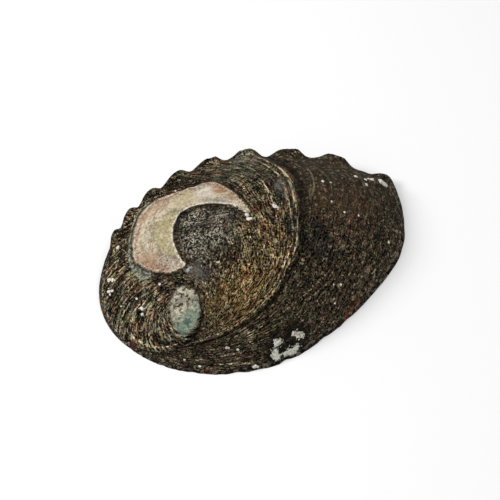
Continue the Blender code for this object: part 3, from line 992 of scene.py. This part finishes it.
for start, start_age, end, end_age, width, strength, tone in GROWTH_LINES:
    slope = (end_age - start_age) / (end - start)
    line = back.hump(age_here + waver_here * 0.3 - (share_here - start) * slope, start_age, width)
    reach = 0.12 * abs(end - start)
    ends = back.ramp(share_here, min(start, end) - reach, min(start, end) + reach)
    ends = ends * back.ramp(share_here, max(start, end) + reach, max(start, end) - reach)
    line = line * ends * (broken * 0.6 + 0.4)
    colour = back.blend(line * strength, colour, tone)
    height = height + line * 0.15

# %% [markdown]
# Stains are soft ovals on the plan: a blue-grey cloud outside the ridge, whose darkness is painted
# shade on the slope away from the key lamp, a rusty one beside it, and grey-green and mauve-grey
# where the shell is thin near the pores.

# %% Stains and painted shade
cloud = back.ramp(back.noise(here, 0.22, 4.0), 0.35, 0.58)
soft_cloud = back.ramp(back.noise(here, 0.5, 4.0, 0.6), 0.38, 0.60)
blue_grey_and_shade = back.zone(here, (12.0, -12.3), (9.0, 13.0)) * cloud
rust = back.zone(here, (27.0, -8.8), (17.0, 14.0)) * back.ramp(grain, 0.45, 0.58)
green = back.zone(here, (4.0, 21.0), (13.0, 10.0)) * soft_cloud
pale_knob = back.zone(here, (10.8, 27.5), (6.0, 7.0)) * soft_cloud
mauve = back.zone(here, (12.0, 7.5), (4.5, 9.0)) * cloud
# Painted shade: the blue-grey cloud is darkened as shade on the slope away from the key lamp.
colour = back.blend(blue_grey_and_shade * 0.80, colour, (0.010, 0.012, 0.013))
colour = back.blend(rust * 0.40, colour, (0.100, 0.043, 0.024))
colour = back.blend(green * 0.45, colour, (0.115, 0.120, 0.088))
colour = back.blend(pale_knob * 0.70, colour, (0.210, 0.195, 0.160))
colour = back.blend(mauve * 0.75, colour, (0.115, 0.098, 0.085))

# %% [markdown]
# Fine grit in the skin makes every colour lighter and darker from one tenth of a millimetre to
# the next, and its hue drifts between olive, brown and mauve.

# %% Fine grit
grit_lines = back.ramp(back.noise(back.vector(across * 1.6, along * 0.42), 1.0, 1.5), 0.46, 0.54)
grit_dots = back.ramp(back.noise(here, 1.7, 1.0), 0.46, 0.54)
quiet = back.zone(here, (30.0, 4.0), (30.0, 26.0)) * 0.80 + back.zone(here, (4.0, 24.0), (22.0, 11.0)) * 0.50
lined = 0.55 - new_band * (1.0 - low_side) * 0.20
grit = (grit_lines * lined + grit_dots * (1.0 - lined) - 0.5) * (1.0 - quiet)
hues = back.node("ShaderNodeTexNoise", {}, {"Vector": here, "Scale": 0.55, "Detail": 3.0}, "Color")
hues = back.node("ShaderNodeVectorMath", {"operation": "MULTIPLY_ADD"},
                 (hues, (0.95, 0.65, 0.80), (0.52, 0.66, 0.51)))
colour = back.node("ShaderNodeVectorMath", {"operation": "MULTIPLY"}, (colour, hues))
colour = back.tint(colour, 0.97 + grit * 2.8)
height = height + grit * 0.12

# %% [markdown]
# Where the dark layer has gone, the crescent shows cream and pink nacre. Its edges are the
# distances stored on the mesh, made ragged with noise. The disc in its middle keeps its dark
# skin and is thickly speckled.

# %% Edges of the worn places
ragged = (back.noise(here, 0.6, 5.0, 0.7) - 0.5) * 4.0
jagged = (back.noise(here, 1.1, 2.0, 0.6) - 0.5) * 3.0
from_crescent = back.attribute("crescent") + ragged * 0.5
from_disc = back.attribute("disc") + ragged * 0.25 + jagged * 0.25
from_under = back.attribute("under_layer") + ragged * 0.6
under = back.ramp(from_under, 0.25, -0.25)
in_disc = back.ramp(from_disc, 0.15, -0.15)
tip = back.zone(here, (-2.8, 7.5), (7.0, 8.0))
worn = back.ramp(from_crescent + jagged * tip, 0.18, -0.18) * (1.0 - in_disc)
mottle = back.noise(here, 0.38, 5.0, 0.7)
fine_mottle = back.noise(here, 1.2, 3.0, 0.65)
streaky = back.node("ShaderNodeVectorMath", {"operation": "MULTIPLY_ADD"},
                    (here, (0.16, 0.16, 0.0), back.vector(0.0, 0.0, back.attribute("disc") * 0.55)))
bands = back.noise(streaky, 1.0, 4.0, 0.6)
cracks = back.threads(back.vector(age_here * 9.0, share_here * 22.0, mottle * 3.0), 0.030)

# %% Second layer round the crescent
under_tone = back.blend(back.ramp(fine_mottle, 0.42, 0.58), (0.095, 0.100, 0.078), (0.31, 0.32, 0.25))
under_rim = back.hump(from_under, -0.45, 0.45) * back.ramp(fine_mottle, 0.40, 0.52)
under_tone = back.blend(under_rim * 0.85, under_tone, (0.52, 0.48, 0.31))
under_tone = back.blend(back.ramp(grain, 0.47, 0.40) * 0.8, under_tone, (0.020, 0.017, 0.012))
colour = back.blend(under * 0.9, colour, under_tone)
# Painted shadow: a dark line just outside the crescent's edge, as the shadow of the step between the layers.
colour = back.blend(back.hump(from_crescent, 0.45, 0.50) * 0.75, colour, (0.020, 0.017, 0.012))

# %% Cream and pink nacre
CRESCENT_TINTS = ((-32.0, 5.0, 7.5, 6.5, 0.70, (0.42, 0.37, 0.35)),
                  (-36.3, 7.0, 6.5, 8.5, 0.75, (0.40, 0.25, 0.15)),
                  (-16.2, 21.0, 7.0, 4.5, 0.60, (0.52, 0.46, 0.27)),
                  (-8.7, 19.8, 6.0, 5.0, 0.85, (0.74, 0.69, 0.62)),
                  (-4.8, 17.6, 4.0, 4.0, 0.80, (0.30, 0.14, 0.06)),
                  (-26.0, 25.0, 11.0, 3.5, 0.50, (0.52, 0.35, 0.25)))

cream = back.blend(back.ramp(bands, 0.42, 0.58), (0.38, 0.315, 0.215), (0.62, 0.54, 0.42))
cream = back.blend(back.ramp(fine_mottle, 0.53, 0.58) * 0.70, cream, (0.76, 0.70, 0.58))
cream = back.blend(back.ramp(fine_mottle, 0.45, 0.40) * 0.50, cream, (0.25, 0.18, 0.11))
for x, y, reach_x, reach_y, strength, tone in CRESCENT_TINTS:
    tint = back.zone(here, (x, y), (reach_x, reach_y)) * (0.5 + back.ramp(mottle, 0.44, 0.54) * 0.5)
    cream = back.blend(tint * strength, cream, tone)
lilac = back.zone(here, (-32.5, 5.0), (8.0, 6.0))
cream = back.blend(lilac * back.ramp(fine_mottle, 0.48, 0.42) * 0.75, cream, (0.15, 0.12, 0.10))
outer_edge = back.ramp(from_crescent, -3.2, -0.8) * back.ramp(from_disc, 2.0, 5.0)
cream = back.blend(outer_edge * back.ramp(mottle, 0.44, 0.54) * 0.70, cream, (0.42, 0.26, 0.165))
cream = back.blend(outer_edge * back.ramp(grain, 0.48, 0.42) * 0.75, cream, (0.15, 0.075, 0.04))
cream = back.blend(cracks * outer_edge * 0.7, cream, (0.17, 0.10, 0.06))
from_field = back.away(here, (-24.5, 10.8), (7.4, 9.2)) + ragged * 0.03
field = back.ramp(from_field, 1.04, 0.94)
cream = back.blend(field * (0.35 + back.ramp(mottle, 0.42, 0.54) * 0.45), cream, (0.46, 0.41, 0.22))
cream = back.blend(field * back.ramp(fine_mottle, 0.49, 0.43) * 0.50, cream, (0.24, 0.22, 0.12))
field_line = back.hump(from_field, 1.0, 0.10) * back.ramp(mottle, 0.40, 0.50)
cream = back.blend(field_line * 0.75, cream, (0.20, 0.20, 0.15))
blue_stripe = back.hump(from_disc, 1.7, 1.3) * back.zone(here, (-8.7, 14.2), (7.0, 6.5))
cream = back.blend(blue_stripe * 0.80, cream, (0.27, 0.29, 0.27))
# A pale rim round the disc, and a painted highlight along the inside of the crescent's edge.
pale_rim_and_highlight = back.hump(from_disc, 0.55, 0.60) + back.hump(from_crescent, -0.45, 0.40) * 0.6
cream = back.blend(pale_rim_and_highlight * back.ramp(fine_mottle, 0.43, 0.52) * 0.9, cream, (0.80, 0.75, 0.65))
warm_cream = back.node("ShaderNodeVectorMath", {"operation": "MULTIPLY"}, (cream, (0.885, 0.855, 0.815)))
colour = back.blend(worn, colour, warm_cream)
beside = back.zone(here, (-25.0, -5.2), (5.0, 5.5)) * back.ramp(mottle, 0.42, 0.52)
colour = back.blend(beside * (1.0 - worn) * 0.65, colour, (0.125, 0.12, 0.11))
chip = back.ramp(back.away(here, (-27.9, -2.6), (1.1, 0.7)) + ragged * 0.6, 1.1, 0.6)
colour = back.blend(chip * 0.9, colour, (0.40, 0.44, 0.45))

# %% Speckled disc
disc_dots = back.ramp(back.noise(here, 1.5, 1.5, 0.6), 0.56, 0.61)
disc_threads = back.threads(back.tint(here, 0.75), 0.035) + back.threads(back.tint(here, 1.05), 0.045)
thick = back.ramp(back.noise(here, 0.20, 3.0), 0.40, 0.56)
disc_light = (disc_dots + disc_threads * 0.6) * back.ramp(from_disc, -0.2, -3.0) * (thick * 0.7 + 0.3)
disc_tone = back.blend(disc_light, (0.014, 0.011, 0.008), (0.60, 0.55, 0.44))
disc_tone = back.blend(back.ramp(fleck, 0.48, 0.42) * 0.9, disc_tone, (0.006, 0.005, 0.004))
colour = back.blend(in_disc * back.zone(here, (-17.0, 6.7), (16.0, 15.0)) * 0.85, colour, disc_tone)

# %% [markdown]
# The very tip of the coil is worn through to a small window: pale grey on one side, sea green
# on the other. The white crusts near the lip were built by animals that settled there.

# %% Worn apex and crusts
from_spot = back.attribute("apex_spot") + ragged * 0.5 + jagged * 0.3
spot = back.ramp(from_spot, 0.7, -0.5)
plan = back.tree.nodes.new("ShaderNodeSeparateXYZ")
back.tree.links.new(here.socket, plan.inputs[0])
north = back.ramp(Number(back, plan.outputs["Y"]) + ragged * 1.4 + jagged, -14.5, -10.0)
sea_green = back.blend(back.ramp(mottle, 0.44, 0.56), (0.095, 0.150, 0.130), (0.25, 0.31, 0.22))
window = back.blend(north, sea_green, (0.62, 0.57, 0.43))
window = back.blend(back.ramp(fine_mottle, 0.54, 0.59) * (north * 0.5 + 0.3), window, (0.76, 0.72, 0.60))
window = back.blend(back.ramp(grain, 0.48, 0.42) * (north * 0.80 + 0.10), window, (0.04, 0.025, 0.012))
window = back.blend(back.ramp(fleck, 0.44, 0.38) * 0.5, window, (0.07, 0.065, 0.045))
colour = back.blend(spot * 0.95, colour, window)
right_of_spot = back.hump(from_spot, 0.45, 0.45) * back.zone(here, (-28.0, -11.0), (4.5, 7.0))
colour = back.blend(right_of_spot * 0.8, colour, (0.012, 0.009, 0.006))
from_crust = back.attribute("crust") + ragged * 0.45 + jagged * 0.75
colour = back.blend(back.ramp(from_crust, 3.0, 0.5) * 0.85, colour, (0.008, 0.007, 0.005))
crusted = back.ramp(from_crust, 0.08, -0.04)
crust_tone = back.blend(back.ramp(grain, 0.42, 0.56), (0.42, 0.40, 0.30), (0.82, 0.80, 0.72))
colour = back.blend(crusted, colour, crust_tone)

# %% [markdown]
# The rim is rubbed pale in broken patches, and a few orange-red grains hang on the lip. With
# that the colour is done. Bare nacre is a little glossier than the skin, and crust is dull.
# The same patterns go into the bump, in millimetres.

# %% Rim, gloss and bump
rim_noise = back.ramp(back.noise(here, 0.8, 3.0, 0.6), 0.50, 0.60)
wall_shade = back.ramp(share_here, 1.0, 1.06)
old_side = back.zone(here, (-54.0, -8.0), (24.0, 30.0))
lip_wall_shade = back.ramp(age_here, 0.012, -0.004)
# Painted shade: the steep side wall is darkened, except on the old side.
colour = back.blend(wall_shade * (1.0 - old_side) * 0.6, colour, (0.010, 0.008, 0.006))
# Painted shade: the wall under the lip is darkened.
colour = back.blend(lip_wall_shade * 0.85, colour, (0.006, 0.005, 0.004))
old_rim = back.hump(share_here, 1.035, 0.055) * old_side
lip_rim = back.ramp(age_here, 0.030, 0.004)
colour = back.blend((old_rim + lip_rim * 0.30) * rim_noise, colour, (0.50, 0.45, 0.35))
rusty_lip = back.hump(share_here, 0.785, 0.045) + back.hump(share_here, 0.380, 0.020)
red_bits = back.ramp(age_here, 0.035, 0.010) * back.ramp(back.noise(here, 0.6, 3.0), 0.51, 0.57)
colour = back.blend(red_bits * rusty_lip * 0.9, colour, (0.20, 0.042, 0.018))
seam_end = back.ramp(back.away(here, (-52.2, -8.0), (1.2, 1.2)) + ragged * 0.3, 1.1, 0.8)
colour = back.blend(seam_end * 0.85, colour, (0.065, 0.010, 0.008))

height = height * (1.0 - worn * 0.80) + crusted * 0.25 - worn * 0.25 + in_disc * disc_dots * 0.08
height = height - spot * 0.12 + worn * fine_mottle * 0.20 - worn * cracks * 0.08 - under * 0.08
normal = back.node("ShaderNodeBump", {}, {"Strength": 1.0, "Distance": 1.0 * MM, "Height": height})
gloss = 0.85 - worn * 0.35 - spot * 0.40 - strokes * 0.10
back.feed(back.surface.inputs["Base Color"], colour)
back.feed(back.surface.inputs["Roughness"], gloss)
back.feed(back.surface.inputs["Normal"], normal)
back.feed(back.surface.inputs["Specular IOR Level"], 0.04)
print("back:", len(back.tree.nodes), "nodes")

# %% [markdown]
# ## Mother-of-pearl
#
# The bowl is lined with nacre. Its thin layers split light, so its colour drifts between silver,
# pink and green. Wide bent noise gives the drift, a clear coat gives the wet gloss, and a thin
# film in the shader adds the true play of colours.

# %% Nacre
pearl = Finish("nacre")
inside = pearl.place()
drift = pearl.node("ShaderNodeTexNoise", {}, {"Vector": inside, "Scale": 0.045, "Detail": 2.0,
                                              "Distortion": 1.6})
swirl = pearl.node("ShaderNodeTexNoise", {}, {"Vector": inside, "Scale": 0.11, "Detail": 3.0,
                                              "Distortion": 2.4})
sheen = pearl.blend(pearl.ramp(drift, 0.35, 0.62), (0.52, 0.56, 0.55), (0.62, 0.54, 0.54))
sheen = pearl.blend(pearl.ramp(swirl, 0.52, 0.70) * 0.6, sheen, (0.38, 0.56, 0.47))
sheen = pearl.blend(pearl.ramp(swirl, 0.46, 0.30) * 0.5, sheen, (0.60, 0.42, 0.50))
fine = pearl.noise(inside, 0.9, 4.0, 0.6)
soft = pearl.noise(inside, 0.16, 2.0)
pearl_normal = pearl.node("ShaderNodeBump", {}, {"Strength": 0.5, "Distance": 1.0 * MM,
                                                 "Height": soft * 0.8 + fine * 0.05})
pearl.feed(pearl.surface.inputs["Base Color"], sheen)
pearl.feed(pearl.surface.inputs["Roughness"], 0.16 + 0.20 * fine)
pearl.feed(pearl.surface.inputs["Normal"], pearl_normal)
pearl.feed(pearl.surface.inputs["Coat Weight"], 0.5)
pearl.feed(pearl.surface.inputs["Coat Roughness"], 0.08)
pearl.feed(pearl.surface.inputs["Thin Film Thickness"], 420.0)
pearl.feed(pearl.surface.inputs["Thin Film IOR"], 1.45)
for finish in (back, pearl):
    shell.data.materials.append(finish.material)
print("nacre:", len(pearl.tree.nodes), "nodes")

# %% [markdown]
# ## White specks
#
# Dots of lime from tiny settlers are scattered over the back. Each is a squashed ball of a few
# dozen faces, sunk into the surface where a ray from above finds it. They are one piece.

# %% Settlers
SPECKS = ((-41.2, 21.5, 0.8), (-48.5, 14.1, 0.85), (-47.8, 13.2, 0.75), (-50.3, 10.9, 0.75),
          (-49.5, 10.2, 0.6), (-50.6, 9.8, 0.5), (-44.8, 1.6, 0.5), (-45.0, -2.1, 0.9),
          (-45.7, -3.5, 0.7), (-37.1, -0.1, 0.5), (-3.1, 2.7, 0.8), (-3.5, 1.1, 0.8), (-2.8, 0.8, 0.7),
          (24.2, -5.2, 0.45), (26.4, -9.8, 0.45), (31.0, -11.3, 0.4), (38.7, -19.0, 0.6),
          (14.8, -27.2, 0.55), (12.3, -26.8, 0.35), (39.6, 4.2, 0.8), (42.1, 1.9, 0.7),
          (44.9, 2.2, 0.9), (43.8, 2.6, 0.6), (41.0, -0.4, 0.7), (48.9, 1.2, 1.5), (49.7, 0.8, 1.1),
          (48.1, 1.6, 1.2), (-40.5, -22.1, 0.4),
          (-37.2, -26.1, 0.5), (-21.6, -34.4, 0.9), (-20.8, -34.8, 0.6), (-27.8, -27.2, 0.5),
          (-27.2, -27.6, 0.4), (-24.9, -29.2, 0.45), (-26.5, -29.4, 0.35), (26.2, 3.7, 0.55),
          (28.5, 2.4, 0.4), (6.2, 0.7, 0.8), (6.0, 1.5, 0.5), (6.7, 0.0, 0.5), (-15.8, 24.8, 0.4),
          (-16.3, 26.8, 0.4), (10.6, -30.6, 0.4))
SPECK_FLATNESS = 0.45

surface = BVHTree.FromObject(shell, bpy.context.evaluated_depsgraph_get())
bm = bmesh.new()
for x, y, size in SPECKS:
    hit, normal, _, _ = surface.ray_cast(Vector((x * MM, y * MM, 0.1)), Vector((0, 0, -1)))
    if hit is None:
        continue
    spin = Matrix.Rotation(x + y, 4, "Z")
    stretch = Matrix.Diagonal((size, size * (0.85 + 0.12 * math.sin(x)), size * SPECK_FLATNESS, 1.0))
    seat = Matrix.Translation(hit) @ normal.to_track_quat("Z", "Y").to_matrix().to_4x4()
    ball = bmesh.ops.create_icosphere(bm, subdivisions=2, radius=1.0 * MM,
                                      matrix=seat @ spin @ stretch)
    for vert in ball["verts"]:
        vert.co += noise.noise_vector(vert.co * 900.0) * 0.35 * size * MM
        vert.co.z = min(vert.co.z, cad_box[1][2])
speck_mesh = bpy.data.meshes.new("settler_specks")
bm.to_mesh(speck_mesh)
bm.free()
speck_mesh.shade_smooth()
specks = bpy.data.objects.new("settler_specks", speck_mesh)
bpy.context.scene.collection.objects.link(specks)

lime = Finish("white_lime")
lime_place = lime.place()
lime_noise = lime.noise(lime_place, 2.2, 3.0, 0.6)
lime.feed(lime.surface.inputs["Base Color"],
          lime.blend(lime.ramp(lime_noise, 0.38, 0.60), (0.50, 0.46, 0.37), (0.80, 0.78, 0.72)))
lime.feed(lime.surface.inputs["Roughness"], 0.70 + 0.20 * lime_noise)
lime.feed(lime.surface.inputs["Normal"], lime.node(
    "ShaderNodeBump", {}, {"Strength": 0.6, "Distance": 0.5 * MM, "Height": lime_noise}))
specks.data.materials.append(lime.material)
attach(specks, "root")
print("specks:", len(SPECKS))

# %% [markdown]
# ## Table and light
#
# The photograph is cut out on pure white, so the table is a plain white sheet. A wide softbox
# overhead keeps it white and leaves the shell's steep sides dark, as they are there. A smaller
# lamp from the upper left shapes the ridges, and an even sky fills the shadows.

# %% Floor
bm = bmesh.new()
bmesh.ops.create_grid(bm, x_segments=1, y_segments=1, size=1.5)
floor_mesh = bpy.data.meshes.new("floor")
bm.to_mesh(floor_mesh)
bm.free()
floor = bpy.data.objects.new("floor", floor_mesh)
bpy.context.scene.collection.objects.link(floor)
paper = Finish("white_paper")
paper.feed(paper.surface.inputs["Base Color"], (0.94, 0.94, 0.94))
paper.feed(paper.surface.inputs["Roughness"], 0.8)
floor.data.materials.append(paper.material)

# %% Light
SKY_STRENGTH = 0.30
LAMPS = (("softbox", 0.0, 90.0, 1.1, 1.2, 7.0), ("key", -120.0, 48.0, 0.7, 0.30, 2.4))

world = bpy.data.worlds.new("studio")
bpy.context.scene.world = world
world.use_nodes = True
world.node_tree.nodes["Background"].inputs["Color"].default_value = (1.0, 1.0, 1.0, 1.0)
world.node_tree.nodes["Background"].inputs["Strength"].default_value = SKY_STRENGTH
for name, turn, rise, distance, width, power in LAMPS:
    lamp = bpy.data.lights.new(name, "AREA")
    lamp.shape = "DISK"
    lamp.size = width
    lamp.energy = power
    lamp_object = bpy.data.objects.new(name, lamp)
    bpy.context.scene.collection.objects.link(lamp_object)
    aim(lamp_object, direction(math.radians(turn), math.radians(rise)) * distance, Vector())
bpy.context.scene.view_settings.view_transform = "Standard"
print("lamps:", len(LAMPS))
